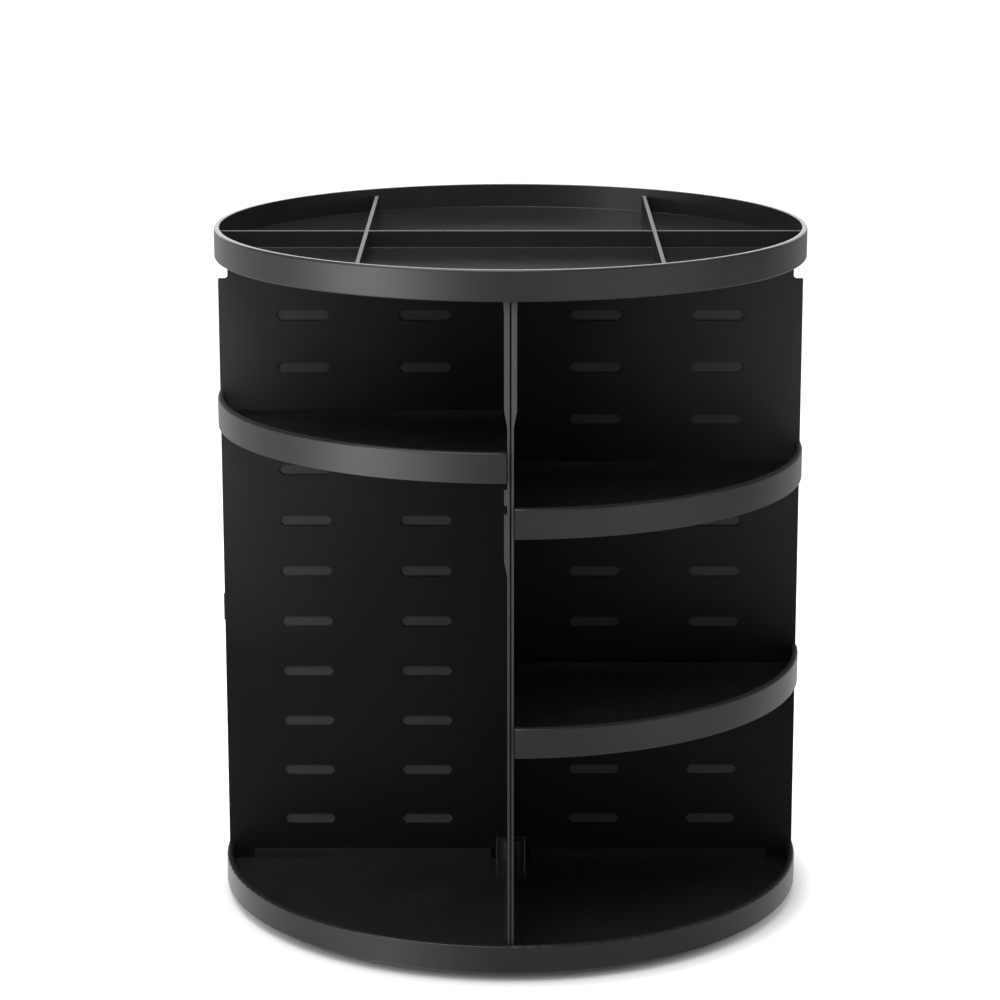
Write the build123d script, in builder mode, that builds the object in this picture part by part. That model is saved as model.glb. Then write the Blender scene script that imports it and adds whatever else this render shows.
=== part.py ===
from build123d import *
from math import sqrt
import os

os.makedirs("parts", exist_ok=True)

# Rotating cosmetics carousel: a round base on a ball-race turntable, two panels
# crossed at right angles with rows of sockets in their faces, quarter-round trays
# that snap into the sockets, and a divided round tray on top. Millimetres, +Z up,
# origin on the table under the turning axis. The main panel runs along X, and -Y is
# the front.

# ---- Driving dimensions -------------------------------------------------------

# Round shells
rim_r = 115.0           # outside radius of the base and of the top tray
rim_wall = 2.0          # thickness of every rim
rim_round = 0.9         # rounding of a rim's outer top edge
rim_ease = 0.4          # bevel of a rim's lower outside edge
ring_gap = 4.0          # from the table to the underside of the base ring
ring_h = 10.6           # height of the base ring
base_floor_z = 7.0      # underside of the base's floor
base_floor_t = 2.0
top_rim_h = 11.6        # height of the top tray's rim
top_floor_t = 2.0

# Crossed panels
panel_t = 2.4
panel_h = 248.4         # from the base's floor to the top tray
main_inset = 0.8        # from the rims' outside back to the main panel's edges
cross_inset = 3.5       # from the rims' outside back to the cross panel's edges
neck_inset = 4.5        # the same, for the main panel's narrower top
neck_h = 10.2
neck_fillet = 1.5
panel_foot_play = 0.4   # between the main panel and the base ring
lap_share = 0.5         # how far up the panels the half-lap joint meets
lap_play = 0.1          # clearance each side of a panel in the half lap

# Blind sockets for the trays' tabs, in both faces of each panel
socket_len = 20.0
socket_h = 4.0
socket_depth = 0.8
socket_corner = 1.3     # bevel that rounds a socket's ends
socket_places = (33.8, 81.4)    # socket centres, out from the axis
first_row_z = 25.8      # height of the lowest row of sockets
row_pitch = 20.7
row_count = 11

# Edge ribs of the cross panel
rib_t = 1.15
rib_depth = 3.0
rib_taper = 6.0         # over which a rib runs out at its foot
upper_rib_z = 211.3     # foot of the ribs below the top tray
left_rib_z = 155.8      # foot of the short rib beside the left-hand compartments
left_rib_h = 32.8
left_notch_z = 179.2    # notch across that rib
left_notch_h = 3.2
groove_w = 0.35         # groove down the middle of the panel's edge, between the ribs
groove_depth = 0.6

# Quarter trays
tray_inset = 0.2        # from the rims' outside back to a tray's
tray_rim_h = 11.3
tray_floor_t = 1.8
tray_gap = 0.3          # between a tray's straight side and the panel
lip_t = 1.6             # low lip along each straight side
lip_h = 4.0
tray_corner_r = 3.0
tab_play = 0.2          # around a tab in its socket
tab_end_play = 0.1      # between a tab's face and its socket's floor
tab_root = 2.5          # how far a tab's root reaches back under the floor

# Dividers of the top tray
divider_t = 1.6
divider_drop = 3.0      # from the rim's crest down to the dividers
side_divider_x = 56.0

# Sockets that hold the panels
rail_t = 1.2
rail_play = 0.15
base_rail_h = 4.0
top_rail_h = 5.0
rail_inner = 8.0        # from the axis to a rail's inner end
rail_end_gap = 9.0      # from a rail's outer end to the rim

# Turntable foot
foot_r = 98.0
foot_z = 1.2            # underside of the foot plate
foot_t = 2.4
hub_r = 10.0
hub_top_play = 0.4      # between the hub and the base's underside
hub_web = 2.0           # thickness of the hub above its counterbore
pad_r = 6.0
pad_inset = 12.0        # pads' centres, in from the foot's edge
pad_count = 4
pad_sink = 0.6          # how deep a pad sits in its recess
pad_play = 0.15

# Ball race
ball_r = 2.0
ball_count = 6
ball_z = 4.7            # height of the balls' centres
track_r = 62.0
track_play = 0.15       # between a ball and its tracks
track_w = 8.0
cage_w = 12.0
cage_t = 1.0
pocket_play = 0.2
cage_play = 0.3         # between the cage and the upper track's collar

# Centre pivot
boss_r = 5.5
boss_h = 8.0            # above the base's floor
boss_play = 0.4         # between the boss and the panels' notch
screw_r = 2.0
screw_len = 11.0        # shank, from the underside of the head
screw_head_r = 4.2
screw_head_h = 2.2
screw_bevel = 0.7       # at the head's edge and at the tip
screw_fit = 0.05        # radial clearance in the boss and in the hub
drive_r = 1.6           # cross recess in the screw's head
drive_w = 0.9
drive_depth = 1.2
screw_end_play = 0.6    # past the screw's tip in its hole
washer_r = 5.6
washer_t = 0.8
washer_bore_play = 0.1
washer_play = 0.1       # between the washer and the hub
counterbore_play = 0.6

# ---- Sizes worked out from them ------------------------------------------------

ring_top = ring_gap + ring_h
base_floor_top = base_floor_z + base_floor_t
top_z = base_floor_top + panel_h                # underside of the top tray
top_floor_top = top_z + top_floor_t
crest_z = top_z + top_rim_h
shoulder_z = top_z - neck_h
rim_inner = rim_r - rim_wall
main_half = rim_r - main_inset                  # half widths of the panels
neck_half = rim_r - neck_inset
cross_half = rim_r - cross_inset
tray_r = rim_r - tray_inset
rail_outer = rim_inner - rail_end_gap
pad_ring_r = foot_r - pad_inset
rows = [first_row_z + row_pitch * i for i in range(row_count)]
socket_spots = [(side * place, z) for z in rows for side in (-1, 1) for place in socket_places]
web_t = panel_t - 2 * socket_depth              # left between two sockets back to back
lap_z = base_floor_top + lap_share * panel_h
side_plane = panel_t / 2 + tray_gap             # a tray's straight side, off the axis
hub_top = base_floor_z - hub_top_play
web_z = hub_top - hub_web                       # ceiling of the hub's counterbore
washer_z = web_z - washer_play - washer_t
head_z = washer_z - screw_head_h                # face of the screw's head
screw_tip = washer_z + screw_len
collar_z = ball_z + cage_t / 2 + cage_play      # underside of the upper track's collar
rail_off = panel_t / 2 + rail_play + rail_t / 2
tab_depth = socket_depth - tab_end_play
tab_h = socket_h - 2 * tab_play
# A tray is drawn out cornerwise, so its tabs slip sideways as far as they come out.
tab_len = socket_len - 2 * (tab_play + tab_depth)


def save(piece, name):
    piece.part.label = name
    export_step(piece.part, f"parts/{name}.step")


def round_tray(rim_bottom, rim_top, floor_bottom, floor_thick):
    """Half section of a round tray, as a floor with an upright rim, in the XZ plane."""
    with BuildSketch(Plane.XZ) as section:
        with Locations((0, floor_bottom)):
            Rectangle(rim_r, floor_thick, align=(Align.MIN, Align.MIN))
        with Locations((rim_inner, rim_bottom)):
            Rectangle(rim_wall, rim_top - rim_bottom, align=(Align.MIN, Align.MIN))
        crest = section.vertices().group_by(Axis.Y)[-1].sort_by(Axis.X)
        fillet(crest[-1], rim_round)
        chamfer(section.vertices().group_by(Axis.Y)[0].sort_by(Axis.X)[-1], rim_ease)
    return section.sketch


def tab_sockets(plane):
    """Cuts the rows of blind sockets into both faces of a panel on the given plane."""
    for side in (-1, 1):
        with BuildSketch(plane.offset(side * web_t / 2)) as cuts:
            with Locations(*socket_spots):
                Rectangle(socket_len, socket_h)
            chamfer(cuts.vertices(), socket_corner)
        extrude(cuts.sketch, amount=side * socket_depth, mode=Mode.SUBTRACT)


def panel_rails(height):
    """Plan of the rails that flank both panels, at the given height."""
    with BuildSketch(Plane.XY.offset(height)) as rails:
        for side in (-1, 1):
            with PolarLocations(0, 4):
                with Locations(((rail_inner + rail_outer) / 2, side * rail_off)):
                    Rectangle(rail_outer - rail_inner, rail_t)
    return rails.sketch


# ---- Turntable foot ------------------------------------------------------------

with BuildPart() as foot_plate:
    with BuildSketch(Plane.XZ):
        with Locations((0, foot_z)):
            Rectangle(foot_r, foot_t, align=(Align.MIN, Align.MIN))
            Rectangle(hub_r, hub_top - foot_z, align=(Align.MIN, Align.MIN))
        # lower ball track
        with Locations((track_r, ball_z)):
            Circle(ball_r + track_play, mode=Mode.SUBTRACT)
        # counterbore for the screw's head and washer, and the bore for its shank
        with Locations((0, foot_z)):
            Rectangle(washer_r + counterbore_play, web_z - foot_z,
                      align=(Align.MIN, Align.MIN), mode=Mode.SUBTRACT)
            Rectangle(screw_r + screw_fit, hub_top - foot_z,
                      align=(Align.MIN, Align.MIN), mode=Mode.SUBTRACT)
    revolve(axis=Axis.Z)
    # shallow recesses for the pads
    with BuildSketch(Plane.XY.offset(foot_z)):
        with PolarLocations(pad_ring_r, pad_count):
            Circle(pad_r + pad_play)
    extrude(amount=pad_sink, mode=Mode.SUBTRACT)
save(foot_plate, "foot_plate")

with BuildPart() as foot_pads:
    with BuildSketch():
        with PolarLocations(pad_ring_r, pad_count):
            Circle(pad_r)
    extrude(amount=foot_z + pad_sink)
save(foot_pads, "foot_pads")

# ---- Ball race -----------------------------------------------------------------

with BuildPart() as ball_cage:
    with BuildSketch(Plane.XY.offset(ball_z - cage_t / 2)):
        Circle(track_r + cage_w / 2)
        Circle(track_r - cage_w / 2, mode=Mode.SUBTRACT)
        with PolarLocations(track_r, ball_count):
            Circle(ball_r + pocket_play, mode=Mode.SUBTRACT)
    extrude(amount=cage_t)
save(ball_cage, "ball_cage")

with BuildPart(Plane.XY.offset(ball_z)) as bearing_balls:
    with PolarLocations(track_r, ball_count):
        Sphere(ball_r)
save(bearing_balls, "bearing_balls")

# ---- Centre pivot --------------------------------------------------------------

with BuildPart() as pivot_screw:
    with BuildSketch(Plane.XZ) as screw_section:
        with Locations((0, head_z)):
            Rectangle(screw_head_r, screw_head_h, align=(Align.MIN, Align.MIN))
            Rectangle(screw_r, screw_head_h + screw_len, align=(Align.MIN, Align.MIN))
        head_rim = screw_section.vertices().group_by(Axis.Y)[0].sort_by(Axis.X)[-1]
        chamfer(head_rim, screw_bevel)
        tip = screw_section.vertices().group_by(Axis.Y)[-1].sort_by(Axis.X)[-1]
        chamfer(tip, screw_bevel)
    revolve(axis=Axis.Z)
    with BuildSketch(Plane.XY.offset(head_z)):
        Rectangle(2 * drive_r, drive_w)
        Rectangle(drive_w, 2 * drive_r)
    extrude(amount=drive_depth, mode=Mode.SUBTRACT)
save(pivot_screw, "pivot_screw")

with BuildPart() as pivot_washer:
    with BuildSketch(Plane.XY.offset(washer_z)):
        Circle(washer_r)
        Circle(screw_r + washer_bore_play, mode=Mode.SUBTRACT)
    extrude(amount=washer_t)
save(pivot_washer, "pivot_washer")

# ---- Base tray -----------------------------------------------------------------

with BuildPart() as base_tray:
    revolve(round_tray(ring_gap, ring_top, base_floor_z, base_floor_t), axis=Axis.Z)
    # collar for the upper ball track, under the floor
    with BuildSketch(Plane.XY.offset(collar_z)):
        Circle(track_r + track_w / 2)
        Circle(track_r - track_w / 2, mode=Mode.SUBTRACT)
    extrude(amount=base_floor_z - collar_z)
    with BuildSketch(Plane.XZ):
        with Locations((track_r, ball_z)):
            Circle(ball_r + track_play)
    revolve(axis=Axis.Z, mode=Mode.SUBTRACT)
    # boss for the pivot screw, with its pilot hole
    with BuildSketch(Plane.XY.offset(base_floor_top)):
        Circle(boss_r)
    extrude(amount=boss_h)
    with BuildSketch(Plane.XY.offset(base_floor_z)):
        Circle(screw_r + screw_fit)
    extrude(amount=screw_tip + screw_end_play - base_floor_z, mode=Mode.SUBTRACT)
    # sockets that hold the panels' feet
    extrude(panel_rails(base_floor_top), amount=base_rail_h)
save(base_tray, "base_tray")

# ---- Crossed panels ------------------------------------------------------------

with BuildPart() as main_panel:
    with BuildSketch(Plane.XZ) as main_outline:
        with Locations((0, ring_top + panel_foot_play)):
            Rectangle(2 * main_half, shoulder_z - ring_top - panel_foot_play,
                      align=(Align.CENTER, Align.MIN))
        with Locations((0, base_floor_top)):
            Rectangle(2 * (rim_inner - panel_foot_play), ring_h, align=(Align.CENTER, Align.MIN))
            Rectangle(2 * neck_half, panel_h, align=(Align.CENTER, Align.MIN))
        notches = main_outline.vertices().group_by(Axis.Y)[-2]
        fillet(notches.filter_by(lambda v: abs(abs(v.X) - neck_half) < neck_fillet), neck_fillet)
        # notch over the pivot boss, and the upper half of the half lap
        with Locations((0, base_floor_top)):
            Rectangle(2 * (boss_r + boss_play), boss_h + boss_play,
                      align=(Align.CENTER, Align.MIN), mode=Mode.SUBTRACT)
        with Locations((0, lap_z)):
            Rectangle(panel_t + 2 * lap_play, top_z - lap_z,
                      align=(Align.CENTER, Align.MIN), mode=Mode.SUBTRACT)
    extrude(amount=panel_t / 2, both=True)
    tab_sockets(Plane.XZ)
save(main_panel, "main_panel")

with BuildPart() as cross_panel:
    with BuildSketch(Plane.YZ):
        with Locations((0, base_floor_top)):
            Rectangle(2 * cross_half, panel_h, align=(Align.CENTER, Align.MIN))
        # notch over the pivot boss, and the lower half of the half lap
        with Locations((0, base_floor_top)):
            Rectangle(2 * (boss_r + boss_play), boss_h + boss_play,
                      align=(Align.CENTER, Align.MIN), mode=Mode.SUBTRACT)
            Rectangle(panel_t + 2 * lap_play, lap_z + lap_play - base_floor_top,
                      align=(Align.CENTER, Align.MIN), mode=Mode.SUBTRACT)
    extrude(amount=panel_t / 2, both=True)
    tab_sockets(Plane.YZ)
    # stiffening ribs along the front and back edges, clear of every tray
    face_x = panel_t / 2
    rib_x = face_x + rib_t
    for edge in (-1, 1):
        with BuildSketch(Plane.XZ.offset(edge * cross_half)):
            for side in (-1, 1):
                Polygon((side * face_x, upper_rib_z), (side * rib_x, upper_rib_z + rib_taper),
                        (side * rib_x, top_z), (side * face_x, top_z))
            Polygon((-face_x, left_rib_z), (-rib_x, left_rib_z + rib_taper),
                    (-rib_x, left_rib_z + left_rib_h), (-face_x, left_rib_z + left_rib_h))
            with Locations((-face_x, left_notch_z)):
                Rectangle(rib_t, left_notch_h, align=(Align.MAX, Align.MIN), mode=Mode.SUBTRACT)
        extrude(amount=-edge * rib_depth)
        with BuildSketch(Plane.XZ.offset(edge * cross_half)):
            with Locations((0, upper_rib_z)):
                Rectangle(groove_w, top_z - upper_rib_z, align=(Align.CENTER, Align.MIN))
            with Locations((0, left_rib_z)):
                Rectangle(groove_w, left_notch_z - left_rib_z, align=(Align.CENTER, Align.MIN))
        extrude(amount=-edge * groove_depth, mode=Mode.SUBTRACT)
save(cross_panel, "cross_panel")

# ---- Quarter trays -------------------------------------------------------------


def quarter_tray(name, quarter, row):
    """One quarter-round tray, in the given quarter turn and row of sockets."""
    at = Plane.XY.offset(rows[row]).rotated((0, 0, 90 * quarter))
    side_end = sqrt(tray_r**2 - side_plane**2)
    inner_r = tray_r - rim_wall
    with BuildPart(at) as tray:
        # floor
        with BuildSketch(at) as plan:
            with BuildLine():
                out = Line((side_plane, side_plane), (side_end, side_plane))
                arc = RadiusArc(out @ 1, (side_plane, side_end), -tray_r)
                Line(arc @ 1, out @ 0)
            make_face()
            fillet(plan.vertices().sort_by_distance((0, 0))[0], tray_corner_r)
        extrude(amount=tray_floor_t)
        # low lips along both straight sides
        with BuildSketch(at):
            add(plan.sketch_local)
            with Locations((side_plane + lip_t, side_plane + lip_t)):
                Rectangle(tray_r, tray_r, align=(Align.MIN, Align.MIN), mode=Mode.SUBTRACT)
        extrude(amount=lip_h)
        # curved rim
        with BuildSketch(at):
            add(plan.sketch_local)
            Circle(inner_r, mode=Mode.SUBTRACT)
        extrude(amount=tray_rim_h)
        crest = tray.edges().filter_by(GeomType.CIRCLE).group_by(Axis.Z)[-1]
        fillet(crest.sort_by(SortBy.RADIUS)[-1], rim_round)
        # tabs, two on each straight side, with roots that reach back under the floor
        root = side_plane + tab_root
        for face, way in ((Plane.XZ.offset(-root), 1), (Plane.YZ.offset(root), -1)):
            with BuildSketch(Plane(at.location * face.location)) as tabs:
                with Locations(*[(place, 0) for place in socket_places]):
                    Rectangle(tab_len, tab_h)
                chamfer(tabs.vertices(), socket_corner)
            extrude(tabs.sketch, amount=way * (tab_root + tray_gap + tab_depth))
    save(tray, name)


quarter_tray("front_left_tray", 2, 8)
quarter_tray("front_right_upper_tray", 3, 7)
quarter_tray("front_right_lower_tray", 3, 3)
quarter_tray("back_left_upper_tray", 1, 8)
quarter_tray("back_left_lower_tray", 1, 4)
quarter_tray("back_right_tray", 0, 7)

# ---- Top tray ------------------------------------------------------------------

with BuildPart() as top_tray:
    revolve(round_tray(top_z, crest_z, top_z, top_floor_t), axis=Axis.Z)
    with BuildSketch(Plane.XY.offset(top_floor_top)):
        Rectangle(2 * rim_r, divider_t)
        with Locations((-side_divider_x, 0), (side_divider_x, 0)):
            Rectangle(divider_t, 2 * rim_r)
        Circle(rim_r - rim_wall / 2, mode=Mode.INTERSECT)
    extrude(amount=crest_z - divider_drop - top_floor_top)
    # sockets over the panels' top edges
    extrude(panel_rails(top_z - top_rail_h), amount=top_rail_h)
save(top_tray, "top_tray")
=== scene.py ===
import math

import bpy
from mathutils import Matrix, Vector

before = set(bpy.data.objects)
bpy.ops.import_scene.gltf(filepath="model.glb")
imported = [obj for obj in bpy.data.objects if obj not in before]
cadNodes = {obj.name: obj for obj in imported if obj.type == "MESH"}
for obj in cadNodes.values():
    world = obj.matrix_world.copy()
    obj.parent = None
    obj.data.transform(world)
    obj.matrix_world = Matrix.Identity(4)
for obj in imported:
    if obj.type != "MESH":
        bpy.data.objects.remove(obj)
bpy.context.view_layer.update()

mm = 0.001
roundTrays = ("base_tray", "top_tray")
trayNames = [name for name in cadNodes if name.endswith("_tray") and name not in roundTrays]
print("frame loaded:", len(cadNodes), "pieces, of them", len(trayNames), "quarter trays")


# Sets an input to a plain value, or links another node's output to it.
def feed(holder, socket, value):
    if isinstance(value, bpy.types.NodeSocket):
        holder.node_tree.links.new(value, socket)
    else:
        socket.default_value = value


# Makes one shader node and gives its outputs.
def addNode(holder, kind, inputs=None, **settings):
    made = holder.node_tree.nodes.new(kind)
    for name, value in settings.items():
        setattr(made, name, value)
    for name, value in (inputs or {}).items():
        feed(holder, made.inputs[name], value)
    return made.outputs


def mathNode(holder, operation, first, second, clamp=False):
    return addNode(holder, "ShaderNodeMath", {0: first, 1: second}, operation=operation, use_clamp=clamp)[0]


def times(holder, first, second):
    return mathNode(holder, "MULTIPLY", first, second)


def plus(holder, first, second):
    return mathNode(holder, "ADD", first, second)


# Carries a value from one pair of ends to another, and holds it there.
def ranged(holder, value, ends, newEnds=(0, 1)):
    return addNode(holder, "ShaderNodeMapRange", {
        "Value": value, "From Min": ends[0], "From Max": ends[1],
        "To Min": newEnds[0], "To Max": newEnds[1]})[0]


def part(holder, vector, axis):
    return addNode(holder, "ShaderNodeSeparateXYZ", {0: vector})[axis]


# A part of a vector without its sign, so that both sides of the object are alike.
def partSize(holder, vector, axis):
    return mathNode(holder, "ABSOLUTE", part(holder, vector, axis), 0)


def mixedColour(mat, share, first, second, blend="MIX"):
    made = mat.node_tree.nodes.new("ShaderNodeMix")
    made.data_type = "RGBA"
    made.blend_type = blend
    for index, value in ((0, share), (6, first), (7, second)):   # the share and the two colours
        feed(mat, made.inputs[index], value)
    return made.outputs[2]


def grey(level, warmth=0.0):
    return (level, level * (1 - warmth / 4), level * (1 - warmth), 1)


# A smooth curve through stops of (place from 0 to 1, value), with the highest value given.
def curve(holder, place, stops, highest):
    made = holder.node_tree.nodes.new("ShaderNodeValToRGB")
    band = made.color_ramp
    band.interpolation = "EASE"
    while len(band.elements) > 1:
        band.elements.remove(band.elements[-1])
    band.elements[0].position = stops[0][0]
    band.elements[0].color = grey(stops[0][1] / highest)
    for where, value in stops[1:]:
        band.elements.new(where).color = grey(value / highest)
    holder.node_tree.links.new(place, made.inputs[0])
    return times(holder, made.outputs[0], highest)


# A noise is given by its features per metre, detail and roughness.
def noise(mat, place, kind):
    scale, detail, rough = kind
    wanted = {"Vector": place, "Scale": scale, "Detail": detail, "Roughness": rough}
    return addNode(mat, "ShaderNodeTexNoise", wanted)["Fac"]


def bump(mat, height, distance, under=None, **settings):
    inputs = {"Height": height, "Distance": distance, "Strength": 1.0}
    if under:
        inputs["Normal"] = under
    return addNode(mat, "ShaderNodeBump", inputs, **settings)[0]


def newMaterial(name):
    mat = bpy.data.materials.new(name)
    mat.use_nodes = True
    mat.node_tree.nodes.clear()
    return mat


def closeMaterial(mat, colour, roughness, normal, fixed):
    inputs = {"Base Color": colour, "Roughness": roughness, "Normal": normal, **fixed}
    surface = addNode(mat, "ShaderNodeBsdfPrincipled", inputs)[0]
    addNode(mat, "ShaderNodeOutputMaterial", {"Surface": surface})
    return mat


# Moulded plastics. Lengths are in metres, tones are linear, and a pair is the two ends of a range.
rimPlastic = {
    "name": "rimBlack", "dark": 0.0135, "pale": 0.0175, "mottle": (38, 5, 0.6), "mottleRange": (0.3, 0.7),
    "warmth": 0.12, "fixed": {"Specular IOR Level": 0.42, "IOR": 1.5},
    "roughness": 0.33, "levelRoughness": 0.15, "roughSpread": 0.07,
    "peel": (210, 2, 0.4), "peelHeight": 0.012 * mm, "grain": (2300, 3, 0.6), "grainHeight": 0.0025 * mm,
    # crest is the tone of the painted highlight along the top edge
    "wear": 0.032, "wearWidth": 0.7 * mm, "crest": 0.05, "dust": 0.04,
}
# the top tray's crest carries a strong painted highlight
topPlastic = dict(rimPlastic, name="topTrayBlack", crest=0.66)
footPlastic = dict(rimPlastic, name="footBlack", dark=0.008, pale=0.011, roughness=0.5,
                   fixed={"Specular IOR Level": 0.4, "IOR": 1.5})

# Marks that all of them have. A tilt is how far a face looks up, from -1 to 1.
wearMarks = {
    "bend": (0.995, 0.80), "samples": 4,    # cosine of the turn at an edge, from unworn to worn
    "patches": (420, 4, 0.7), "patchRange": (0.42, 0.66), "patchShare": (0.25, 1),
    "share": 0.8, "warmth": 0.05,
}
crestHighlightShape = {
    "topBand": (0.90, 0.99), "upperBand": (0.5, 0.7), "upperShare": (0, 0.4),   # by the piece's height
    "tilt": (0.2, 0.8), "facing": (0.55, 0.85), "facingShare": (0.04, 1), "warmth": 0.02,
}
dustMarks = {
    "tilt": (0.75, 0.98), "specks": (1500, 3, 0.6), "speckRange": (0.64, 0.74), "speckShare": 0.5,
    "film": (30, 6, 0.65), "filmRange": (0.40, 0.75), "filmShare": (0, 0.10), "dulling": 0.5, "warmth": 0.03,
}
scuffMarks = {
    "lines": ((0.35, (60, 60, 2600)), (-0.6, (2200, 50, 50))),   # turn in radians, features per metre
    "kind": (1, 2, 0.5), "lineRange": (0.66, 0.74),
    "nudge": (14, 5, 0.6), "handledRange": (0.35, 0.65), "levelTilt": (0.55, 0.97),
}
pins = {"spacing": 44 * mm, "radius": 3 * mm, "soft": 0.15 * mm, "depth": 0.06 * mm, "tilt": (-0.9, -0.97)}


# What the marks go by: place on the piece, normal, how far it faces up, and height from 0 to 1.
def readSurface(mat):
    places = addNode(mat, "ShaderNodeTexCoord")
    normal = addNode(mat, "ShaderNodeNewGeometry")["Normal"]
    return {"place": places["Object"], "normal": normal, "upward": part(mat, normal, "Z"),
            "height": part(mat, places["Generated"], "Z")}


def wornEdges(mat, look, at, colour):
    marks = wearMarks
    rounded = addNode(mat, "ShaderNodeBevel", {"Radius": look["wearWidth"]}, samples=marks["samples"])[0]
    bend = addNode(mat, "ShaderNodeVectorMath", {0: rounded, 1: at["normal"]}, operation="DOT_PRODUCT")["Value"]
    patchy = ranged(mat, noise(mat, at["place"], marks["patches"]), marks["patchRange"], marks["patchShare"])
    worn = times(mat, ranged(mat, bend, marks["bend"]), patchy)
    return mixedColour(mat, times(mat, worn, marks["share"]), colour, grey(look["wear"], marks["warmth"]))


# Painted highlight: a rim's crest is painted pale where it is seen along the surface, standing in for the
# bright grazing reflection on its rounded edge.
def paintCrestHighlight(mat, look, at, colour):
    top = ranged(mat, at["height"], crestHighlightShape["topBand"])
    upper = ranged(mat, at["height"], crestHighlightShape["upperBand"], crestHighlightShape["upperShare"])
    crest = times(mat, mathNode(mat, "MAXIMUM", top, upper), ranged(mat, at["upward"], crestHighlightShape["tilt"]))
    grazed = addNode(mat, "ShaderNodeLayerWeight")["Facing"]
    crest = times(mat, crest, ranged(mat, grazed, crestHighlightShape["facing"], crestHighlightShape["facingShare"]))
    return mixedColour(mat, crest, colour, grey(look["crest"], crestHighlightShape["warmth"]))


# A little dust lies on what faces up.
def dustShare(mat, at):
    marks = dustMarks
    specks = ranged(mat, noise(mat, at["place"], marks["specks"]), marks["speckRange"])
    film = ranged(mat, noise(mat, at["place"], marks["film"]), marks["filmRange"], marks["filmShare"])
    laid = mathNode(mat, "MAXIMUM", times(mat, specks, marks["speckShare"]), film)
    return times(mat, ranged(mat, at["upward"], marks["tilt"]), laid)


# Floors are polished in the mould and walls have its satin grain. Hairline scuffs run in two directions.
def satinRoughness(mat, look, at, dusty):
    scuffs = 0
    for turn, stretch in scuffMarks["lines"]:
        wanted = {"Vector": at["place"], "Rotation": (0, turn, turn), "Scale": stretch}
        laid = addNode(mat, "ShaderNodeMapping", wanted)[0]
        line = ranged(mat, noise(mat, laid, scuffMarks["kind"]), scuffMarks["lineRange"])
        scuffs = mathNode(mat, "MAXIMUM", scuffs, line)
    nudge = ranged(mat, noise(mat, at["place"], scuffMarks["nudge"]), scuffMarks["handledRange"], (-1, 1))
    fromWallToFloor = (look["roughness"], look["levelRoughness"])
    roughness = ranged(mat, at["upward"], scuffMarks["levelTilt"], fromWallToFloor)
    roughness = plus(mat, roughness, times(mat, nudge, look["roughSpread"] / 2))
    roughness = plus(mat, roughness, times(mat, scuffs, -look["roughSpread"] / 2))
    return mathNode(mat, "ADD", roughness, times(mat, dusty, dustMarks["dulling"]), clamp=True)


# A fine peel, the round marks of the ejector pins underneath, and the grain.
def mouldRelief(mat, look, at):
    cell = [pins["spacing"] / 2, pins["spacing"] / 2, 1]   # half a cell, and more than the piece upward
    wrapped = addNode(mat, "ShaderNodeVectorMath", {0: at["place"], 1: cell, 2: [-half for half in cell]},
                      operation="WRAP")["Vector"]
    level = addNode(mat, "ShaderNodeVectorMath", {0: wrapped, 1: (1, 1, 0)}, operation="MULTIPLY")["Vector"]
    out = addNode(mat, "ShaderNodeVectorMath", {0: level}, operation="LENGTH")["Value"]
    pressed = ranged(mat, out, (pins["radius"] - pins["soft"], pins["radius"]), (1, 0))
    pressed = times(mat, pressed, ranged(mat, at["upward"], pins["tilt"]))
    peel = bump(mat, noise(mat, at["place"], look["peel"]), look["peelHeight"])
    marked = bump(mat, pressed, pins["depth"], peel, invert=True)
    return bump(mat, noise(mat, at["place"], look["grain"]), look["grainHeight"], marked)


# The two panels. The axes are the face's own direction and the direction of the outer edges.
panelPlastic = dict(
    rimPlastic, name="panelBlack", dark=0.0046, pale=0.0066, mottle=(22, 5, 0.6),
    fixed={"Specular IOR Level": 0.14, "IOR": 1.5}, roughness=0.47, levelRoughness=0.30, roughSpread=0.09,
    peel=(160, 2, 0.4), peelHeight=0.015 * mm, grain=(1900, 3, 0.6), grainHeight=0.003 * mm,
    wear=0.03, wearWidth=0.5 * mm, crest=0.02, dust=0.03, faceAxis="Y", edgeAxis="X", grooved=False)
crossPlastic = dict(panelPlastic, name="crossPanelBlack", faceAxis="X", edgeAxis="Y", grooved=True)
panelMarks = {
    # the socket, edge and reach tones below are painted light, and the groove tone is painted shade
    "socketFloor": (0.6 * mm, 0.5 * mm), "socketPaintedLightTone": 0.039,    # distance from the panel's middle
    "outward": (0.7, 0.95), "outwardShare": (0, 0.9), "edgeHighlightTone": 0.05, "warmth": 0.06,
    "paintedLightReach": (20 * mm, 112 * mm), "paintedLightHeight": (0.34, 0.80), "paintedLightTone": 0.038,
    "groove": (0.42 * mm, 0.26 * mm), "grooveShadeTone": 0.0018, "grooveRoughness": 0.95,
}


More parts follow.
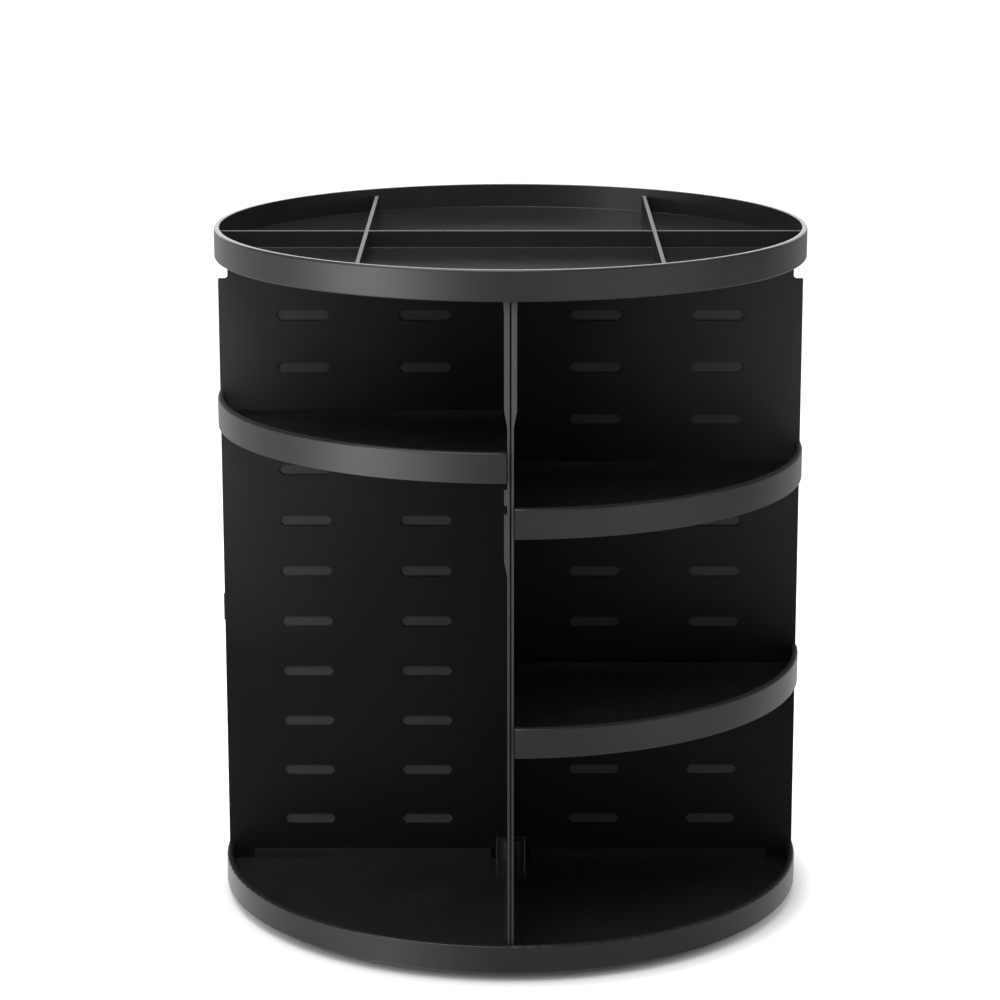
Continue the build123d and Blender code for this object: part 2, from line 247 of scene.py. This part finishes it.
def panelDetails(mat, look, at, colour, roughness):
    # the sockets' floors are painted paler, a painted light standing in for light showing through them, and the
    # faces turned toward the outer edges are painted paler, a painted highlight
    off = partSize(mat, at["place"], look["faceAxis"])
    sunk = ranged(mat, off, panelMarks["socketFloor"])
    colour = mixedColour(mat, sunk, colour, grey(panelMarks["socketPaintedLightTone"], panelMarks["warmth"]), "ADD")
    facing = addNode(mat, "ShaderNodeVectorTransform", {0: at["normal"]}, vector_type="NORMAL",
                     convert_from="WORLD", convert_to="OBJECT")[0]
    outward = partSize(mat, facing, look["edgeAxis"])
    outer = ranged(mat, outward, panelMarks["outward"], panelMarks["outwardShare"])
    colour = mixedColour(mat, outer, colour, grey(panelMarks["edgeHighlightTone"], panelMarks["warmth"]))
    # painted light and shade: paler toward the outer edges and the top, darker toward the middle and the foot,
    # as light falls on the panel
    reach = partSize(mat, at["place"], look["edgeAxis"])
    nudge = times(mat, ranged(mat, reach, panelMarks["paintedLightReach"]),
                    ranged(mat, at["height"], panelMarks["paintedLightHeight"]))
    colour = mixedColour(mat, nudge, colour, grey(panelMarks["paintedLightTone"], panelMarks["warmth"]), "ADD")
    if look["grooved"]:
        # the groove down the edge is painted dark, a painted shade in the recess, and it is dull
        groove = ranged(mat, off, panelMarks["groove"])
        colour = mixedColour(mat, groove, colour, grey(panelMarks["grooveShadeTone"]))
        roughness = mathNode(mat, "MAXIMUM", roughness, times(mat, groove, panelMarks["grooveRoughness"]))
    return colour, roughness


def mouldedPlastic(look):
    mat = newMaterial(look["name"])
    at = readSurface(mat)
    mottle = ranged(mat, noise(mat, at["place"], look["mottle"]), look["mottleRange"])
    colour = mixedColour(mat, mottle, grey(look["dark"], look["warmth"]), grey(look["pale"], look["warmth"]))
    colour = wornEdges(mat, look, at, colour)
    colour = paintCrestHighlight(mat, look, at, colour)
    dusty = dustShare(mat, at)
    colour = mixedColour(mat, dusty, colour, grey(look["dust"], dustMarks["warmth"]))
    roughness = satinRoughness(mat, look, at, dusty)
    if "faceAxis" in look:
        colour, roughness = panelDetails(mat, look, at, colour, roughness)
    return closeMaterial(mat, colour, roughness, mouldRelief(mat, look, at), look["fixed"])


# Finishes of the small parts: two colours, two ends of roughness and a grain, which may be drawn out.
rubber = {
    "name": "padRubber", "colours": (grey(0.018), grey(0.0306, 0.02)),
    "shade": (160, 5, 0.6), "shadeRange": (0.3, 0.7),
    "roughness": (0.72, 0.86), "blotches": (90, 4, 0.6), "blotchRange": (0.3, 0.7),
    "stretch": (1, 1, 1), "grain": (1800, 3, 0.7), "grainHeight": 0.02 * mm,
    "fixed": {"Specular IOR Level": 0.35},
}
acetal = {
    "name": "cagePlastic", "colours": ((0.74, 0.73, 0.69, 1), (0.66, 0.65, 0.60, 1)),
    "shade": (120, 5, 0.6), "shadeRange": (0.35, 0.65),
    "roughness": (0.37, 0.52), "blotches": (400, 4, 0.6), "blotchRange": (0.3, 0.7),
    "stretch": (1, 1, 1), "grain": (500, 2, 0.5), "grainHeight": 0.01 * mm,
    "fixed": {"Specular IOR Level": 0.5},
}
steel = {
    "name": "brightSteel", "colours": ((0.62, 0.62, 0.61, 1), (0.46, 0.46, 0.45, 1)),
    "shade": (300, 5, 0.65), "shadeRange": (0.4, 0.7),
    "roughness": (0.15, 0.32), "blotches": (900, 4, 0.6), "blotchRange": (0.3, 0.7),
    "stretch": (300, 300, 6000), "grain": (1, 2, 0.5), "grainHeight": 0.004 * mm,
    "fixed": {"Metallic": 1.0},
}


def smallPartFinish(look):
    mat = newMaterial(look["name"])
    place = addNode(mat, "ShaderNodeTexCoord")["Object"]
    shade = ranged(mat, noise(mat, place, look["shade"]), look["shadeRange"])
    colour = mixedColour(mat, shade, *look["colours"])
    roughness = ranged(mat, noise(mat, place, look["blotches"]), look["blotchRange"], look["roughness"])
    drawn = addNode(mat, "ShaderNodeMapping", {"Vector": place, "Scale": look["stretch"]})[0]
    grain = bump(mat, noise(mat, drawn, look["grain"]), look["grainHeight"])
    return closeMaterial(mat, colour, roughness, grain, look["fixed"])


rimBlack = mouldedPlastic(rimPlastic)
brightSteel = smallPartFinish(steel)
finishes = {
    "foot_plate": mouldedPlastic(footPlastic), "foot_pads": smallPartFinish(rubber),
    "ball_cage": smallPartFinish(acetal), "bearing_balls": brightSteel,
    "pivot_screw": brightSteel, "pivot_washer": brightSteel,
    "main_panel": mouldedPlastic(panelPlastic), "cross_panel": mouldedPlastic(crossPlastic),
    "base_tray": rimBlack, "top_tray": mouldedPlastic(topPlastic),
}
for name in trayNames:
    finishes[name] = rimBlack
for name, mat in finishes.items():
    piece = cadNodes[name]
    piece.data.materials.clear()
    piece.data.materials.append(mat)
print("finishes laid on:", len(finishes))


# Mould radii on the edges, in millimetres. They catch a thin line of light.
edgeRadius = {
    "base_tray": 0.30, "top_tray": 0.30, "main_panel": 0.22, "cross_panel": 0.22, "foot_plate": 0.3,
    "foot_pads": 0.35, "ball_cage": 0.15, "pivot_screw": 0.12, "pivot_washer": 0.08,
}
for name in trayNames:
    edgeRadius[name] = 0.26
rounding = {"weld": 0.002 * mm, "segments": 2, "evenWeight": 60,
            "flatWithin": 0.4, "cornerFrom": 35}    # these two in degrees


def roundEdges(piece, radius):
    weld = piece.modifiers.new("joinCorners", "WELD")
    weld.merge_threshold = rounding["weld"]
    flat = piece.modifiers.new("joinFlats", "DECIMATE")
    flat.decimate_type = "DISSOLVE"
    flat.angle_limit = math.radians(rounding["flatWithin"])
    bevel = piece.modifiers.new("edgeRadius", "BEVEL")
    bevel.width = radius * mm
    bevel.segments = rounding["segments"]
    bevel.limit_method = "ANGLE"
    bevel.angle_limit = math.radians(rounding["cornerFrom"])
    bevel.miter_outer = "MITER_ARC"
    bevel.harden_normals = False
    steady = piece.modifiers.new("evenLight", "WEIGHTED_NORMAL")
    steady.keep_sharp = False
    steady.weight = rounding["evenWeight"]


for name, radius in edgeRadius.items():
    roundEdges(cadNodes[name], radius)
print("edges rounded:", len(edgeRadius))


# White studio. The camera sees it white, and reflections see a glow that changes all round, with a
# soft bright screen at the left of the front. Turns are in degrees from the front, left first.
studio = {
    "ambient": 0.44, "overhead": 0.12, "horizonFade": (0, 0.20), "brightest": 5.0,
    "floorSize": 12.0, "floorColour": 0.84, "lift": (0.09, 0.19), "glowFade": (0.22, 1.1), "glowNear": 0.3,
}
# the lift falls to nothing close to the object, a painted shadow ring on the floor
paperLiftShadowRing = [(0, 0), (0.16, 0.02), (0.25, 0.22), (0.35, 0.54), (0.5, 0.63), (1, 0.66)]
farGlow = [
    (-180, 0.45), (-150, 0.85), (-125, 0.80), (-100, 0.8), (-82, 1.7), (-67, 4.5),
    (-52, 4.8), (-36, 3.0), (-17, 1.0), (-2, 0.60), (12, 0.85), (35, 1.15),
    (58, 1.25), (82, 0.62), (104, 0.38), (140, 0.45), (180, 0.45),
]
nearGlow = [
    (-180, 0.77), (-96, 0.95), (-80, 0.86), (-71, 0.76), (-55, 0.63), (-45, 0.35),
    (-34, 0.22), (-26, 0.49), (-18, 0.44), (-8, 0.30), (0, 0.23), (22, 0.18),
    (38, 0.22), (53, 0.46), (67, 0.63), (95, 0.77), (180, 0.77),
]


# A glow by the turn of a direction or a place around the axis.
def glowAround(holder, vector, stops):
    forwards = times(holder, part(holder, vector, "Y"), -1)
    turn = mathNode(holder, "ARCTAN2", part(holder, vector, "X"), forwards)
    place = ranged(holder, turn, (-math.pi, math.pi))
    placedStops = [(0.5 + degrees / 360, value) for degrees, value in stops]
    return curve(holder, place, placedStops, studio["brightest"])


# 1 where the camera looks, also through something clear.
def seenShare(holder, rays):
    return mathNode(holder, "MAXIMUM", rays["Is Camera Ray"], rays["Is Transmission Ray"])


def makeWorld():
    world = bpy.data.worlds.new("whiteStudio")
    world.use_nodes = True
    world.node_tree.nodes.clear()
    bpy.context.scene.world = world
    rays = addNode(world, "ShaderNodeLightPath")
    way = addNode(world, "ShaderNodeTexCoord")["Generated"]
    up = part(world, way, "Z")
    glow = times(world, glowAround(world, way, farGlow), ranged(world, up, studio["horizonFade"], (1, 0)))
    glow = plus(world, glow, ranged(world, up, studio["horizonFade"], (0, studio["overhead"])))
    seen = seenShare(world, rays)
    strength = mathNode(world, "MAXIMUM", seen, times(world, rays["Is Glossy Ray"], glow))
    ambient = addNode(world, "ShaderNodeBackground", {"Color": grey(1.0), "Strength": studio["ambient"]})[0]
    shown = addNode(world, "ShaderNodeBackground", {"Color": grey(1.0), "Strength": strength})[0]
    share = mathNode(world, "MAXIMUM", seen, rays["Is Glossy Ray"])
    both = addNode(world, "ShaderNodeMixShader", {0: share, 1: ambient, 2: shown})[0]
    addNode(world, "ShaderNodeOutputWorld", {"Surface": both})


def makeFloor():
    half = studio["floorSize"] / 2
    sheet = bpy.data.meshes.new("studioFloor")
    corners = [(-half, -half, 0), (half, -half, 0), (half, half, 0), (-half, half, 0)]
    sheet.from_pydata(corners, [], [(0, 1, 2, 3)])
    floor = bpy.data.objects.new("studioFloor", sheet)
    bpy.context.scene.collection.objects.link(floor)
    mat = newMaterial("studioFloor")
    rays = addNode(mat, "ShaderNodeLightPath")
    place = addNode(mat, "ShaderNodeTexCoord")["Object"]
    away = addNode(mat, "ShaderNodeVectorMath", {0: place}, operation="LENGTH")["Value"]
    # the paper is lifted to white away from the object; close by the lift falls away, which keeps the real
    # shadow and adds a painted shadow ring around the object
    paper = addNode(mat, "ShaderNodeBsdfDiffuse", {"Color": grey(studio["floorColour"])})[0]
    amount = curve(mat, ranged(mat, away, studio["lift"]), paperLiftShadowRing, 1.0)
    lift = addNode(mat, "ShaderNodeEmission", {
        "Color": grey(1.0), "Strength": times(mat, seenShare(mat, rays), amount)})[0]
    lit = addNode(mat, "ShaderNodeAddShader", {0: paper, 1: lift})[0]
    # a reflection looks through the paper at the far glow, and near the object finds a more even one
    through = ranged(mat, away, studio["glowFade"], (studio["glowNear"], 1))
    near = times(mat, glowAround(mat, place, nearGlow), ranged(mat, away, studio["glowFade"], (1, 0)))
    farLight = addNode(mat, "ShaderNodeBsdfTransparent", {"Color": through})[0]
    nearLight = addNode(mat, "ShaderNodeEmission", {"Color": grey(1.0), "Strength": near})[0]
    mirrored = addNode(mat, "ShaderNodeAddShader", {0: farLight, 1: nearLight})[0]
    fromAbove = addNode(mat, "ShaderNodeMixShader", {0: rays["Is Glossy Ray"], 1: lit, 2: mirrored})[0]
    # from below the sheet is clear, so that the foot can be looked at
    under = addNode(mat, "ShaderNodeNewGeometry")["Backfacing"]
    clear = addNode(mat, "ShaderNodeBsdfTransparent")[0]
    shown = addNode(mat, "ShaderNodeMixShader", {0: under, 1: fromAbove, 2: clear})[0]
    addNode(mat, "ShaderNodeOutputMaterial", {"Surface": shown})
    sheet.materials.append(mat)


# Soft boxes: place and size in metres, brightness of the face.
softBoxes = {
    "leftBox": {"at": (-1.05, -0.95, 0.62), "size": (0.35, 0.8), "bright": 3.6},
    "rightBox": {"at": (1.25, -0.35, 0.75), "size": (0.5, 1.0), "bright": 0.6},
    "topBox": {"at": (-0.15, 0.15, 1.30), "size": (1.3, 0.7), "bright": 3.6},
    "frontTopBox": {"at": (-0.25, -0.85, 1.20), "size": (0.9, 0.5), "bright": 5.0},
}
lightAim = Vector((0, 0, 0.14))


def makeLights():
    for name, box in softBoxes.items():
        lamp = bpy.data.lights.new(name, "AREA")
        lamp.shape = "RECTANGLE"
        lamp.size, lamp.size_y = box["size"]
        lamp.energy = box["bright"] * math.pi * lamp.size * lamp.size_y
        holder = bpy.data.objects.new(name, lamp)
        holder.location = box["at"]
        holder.rotation_euler = (lightAim - holder.location).to_track_quat("-Z", "Y").to_euler()
        holder.visible_camera = False
        bpy.context.scene.collection.objects.link(holder)


# The photograph's view, level sideways, 13 degrees down. Lengths in metres, the sensor in millimetres.
shot = {"focalPixels": 3168.9, "frameWidth": 1000, "sensor": 36.0, "back": 1.2240, "height": 0.4483,
        "pitch": 13.331, "centreX": 510.6, "clip": (0.05, 60)}


def makeCamera():
    lens = bpy.data.cameras.new("photoView")
    lens.sensor_width = shot["sensor"]
    lens.lens = shot["focalPixels"] / shot["frameWidth"] * shot["sensor"]
    lens.shift_x = 0.5 - shot["centreX"] / shot["frameWidth"]
    lens.clip_start, lens.clip_end = shot["clip"]
    camera = bpy.data.objects.new("photoView", lens)
    camera.location = (0, -shot["back"], shot["height"])
    camera.rotation_euler = (math.radians(90 - shot["pitch"]), 0, 0)
    bpy.context.scene.collection.objects.link(camera)
    bpy.context.scene.camera = camera


makeWorld()
makeFloor()
makeLights()
makeCamera()
bpy.context.scene.view_settings.view_transform = "Standard"
print("studio, lights and camera set")
